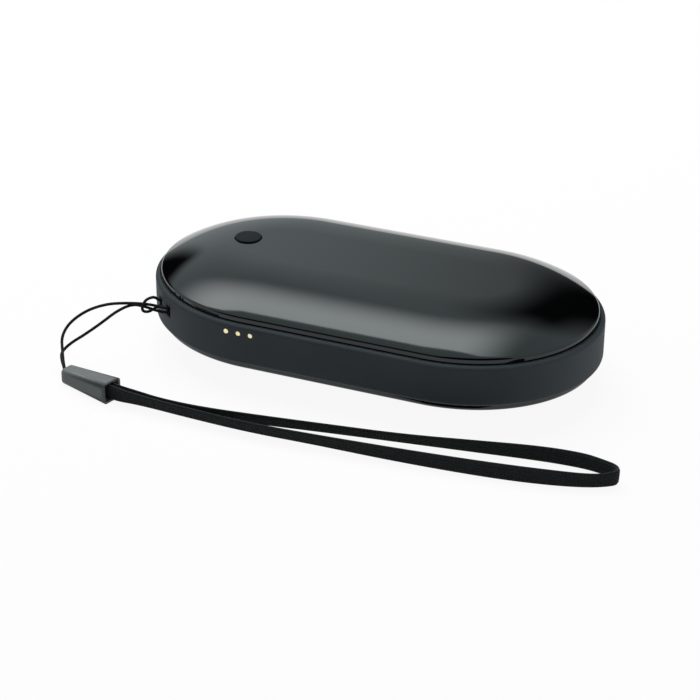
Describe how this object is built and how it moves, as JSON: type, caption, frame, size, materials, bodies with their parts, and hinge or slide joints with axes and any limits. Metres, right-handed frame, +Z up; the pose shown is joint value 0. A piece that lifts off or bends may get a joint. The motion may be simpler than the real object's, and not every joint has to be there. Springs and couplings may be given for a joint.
{
  "type": "rechargeable hand warmer",
  "caption": "Black pebble-shaped rechargeable hand warmer: crowned metal covers on a plastic band with button, lamps, charging inlet and a looped wrist lanyard.",
  "frame": {"origin": "middle of the flat under the bottom cover, on the surface the warmer rests on", "axes": "+X along the body from the lanyard end to the plain end, +Y away from the lamp side, +Z up through the button"},
  "size_m": [0.1378, 0.078, 0.0249],
  "materials": {
    "band_plastic": "fine satin moulding",
    "cover_metal": "smooth satin black coat",
    "button_plastic": "matte",
    "bead_plastic": "satin moulding",
    "lamp_plastic": "clear warm lamp tips",
    "led_plastic": "white",
    "gasket_foam": "foam tape",
    "pad_foam": "foam",
    "heater_film": "amber film",
    "chassis_plastic": "moulded",
    "cell_pouch": "foil pouch",
    "tab_nickel": "plated strip",
    "board_laminate": "green solder mask",
    "wire_red": "soft insulation",
    "wire_black": "soft insulation",
    "wire_white": "soft insulation",
    "screw_steel": "plain",
    "inlet_steel": "drawn sheet",
    "contact_gold": "gilt",
    "chip_plastic": "moulded black",
    "coil_ferrite": "pressed ferrite",
    "capacitor_ceramic": "ceramic",
    "cord_fabric": "fine round braid",
    "strap_fabric": "flat ribbed weave"
  },
  "bodies": {
    "housing": {"mid_frame": "band_plastic", "top_cover": "cover_metal", "bottom_cover": "cover_metal", "upper_cover_gasket": "gasket_foam", "lower_cover_gasket": "gasket_foam", "upper_heater_film": "heater_film", "lower_heater_film": "heater_film", "temperature_sensors": "chip_plastic", "upper_heater_leads": "wire_white", "lower_heater_leads": "wire_white", "inner_chassis": "chassis_plastic", "chassis_screws": "screw_steel", "battery_cell": "cell_pouch", "battery_tabs": "tab_nickel", "battery_protection_board": "board_laminate", "positive_lead": "wire_red", "negative_lead": "wire_black", "upper_insulation_pad": "pad_foam", "lower_insulation_pad": "pad_foam", "circuit_board": "board_laminate", "board_screws": "screw_steel", "usb_shell": "inlet_steel", "usb_tongue": "chip_plastic", "usb_contacts": "contact_gold", "light_pipe": "lamp_plastic", "indicator_leds": "led_plastic", "switch_base": "chip_plastic", "switch_dome": "inlet_steel", "switch_cover_plate": "inlet_steel", "power_inductor": "coil_ferrite", "main_controller": "chip_plastic", "driver_chips": "chip_plastic", "board_capacitors": "capacitor_ceramic", "lanyard_cord": "cord_fabric", "lanyard_bead": "bead_plastic", "wrist_strap": "strap_fabric"},
    "button": {"power_button": "button_plastic"},
    "plunger": {"switch_plunger": "chassis_plastic"}
  },
  "joints": [
    {"name": "button_press", "type": "slide", "parent": "housing", "child": "button", "axis": [0, 0, -1], "range_m": [0, 0.0003], "stiffness_N_per_m": 300, "springref_m": -0.0005},
    {"name": "plunger_press", "type": "slide", "parent": "housing", "child": "plunger", "axis": [0, 0, -1], "range_m": [0, 0.0003], "deforming": ["switch_dome"]}
  ],
  "couplings": [
    {"joint": "plunger_press", "follows": "button_press", "ratio": 1}
  ]
}
